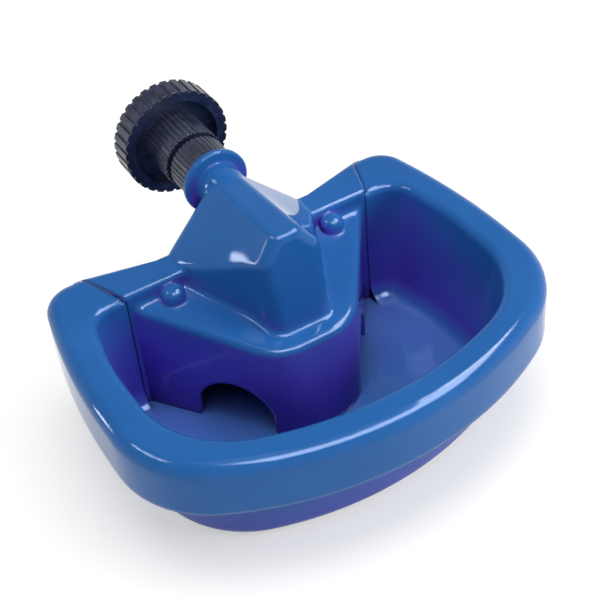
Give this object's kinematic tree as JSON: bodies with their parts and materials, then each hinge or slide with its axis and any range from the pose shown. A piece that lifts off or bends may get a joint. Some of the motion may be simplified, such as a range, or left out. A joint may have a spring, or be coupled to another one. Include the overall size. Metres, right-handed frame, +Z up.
{
  "type": "poultry drinking cup",
  "caption": "Float-valve drinking cup for poultry: moulded bowl with a rolled rim, screwed-on valve cover, threaded inlet with ribbed hand nuts and a fluted container cap.",
  "frame": {"origin": "on the flat base of the bowl, below the middle of the rim's width and depth", "axes": "+Z up, -Y towards the drinking lip at the front, +Y along the inlet to the container"},
  "size_m": [0.163, 0.1631, 0.0912],
  "materials": {
    "blue": "glossy moulded",
    "black": "satin moulded",
    "black_gloss": "glossy moulded",
    "rubber": "soft rubber",
    "steel": "stainless",
    "brass": "turned",
    "foam": "closed-cell foam"
  },
  "bodies": {
    "cup": {"bowl": "blue", "cover": "blue", "cover_screw_left": "steel", "cover_screw_right": "steel", "screw_washer_left": "rubber", "screw_washer_right": "rubber", "valve_nozzle": "brass", "inlet_seal": "rubber", "inlet_shank": "black", "front_lock_nut": "black", "rear_lock_nut": "black", "container_cap": "black_gloss", "cap_gasket": "rubber", "shank_seal": "rubber", "inlet_strainer": "steel", "lever_pin": "steel"},
    "float_arm": {"float_lever": "black", "valve_pad": "rubber", "float": "foam", "float_screw": "steel"}
  },
  "joints": [
    {"name": "float_lever_hinge", "type": "hinge", "parent": "cup", "child": "float_arm", "pos_m": [0, 0.0405, 0.061], "axis": [-1, 0, 0], "range_deg": [0, 10]}
  ]
}
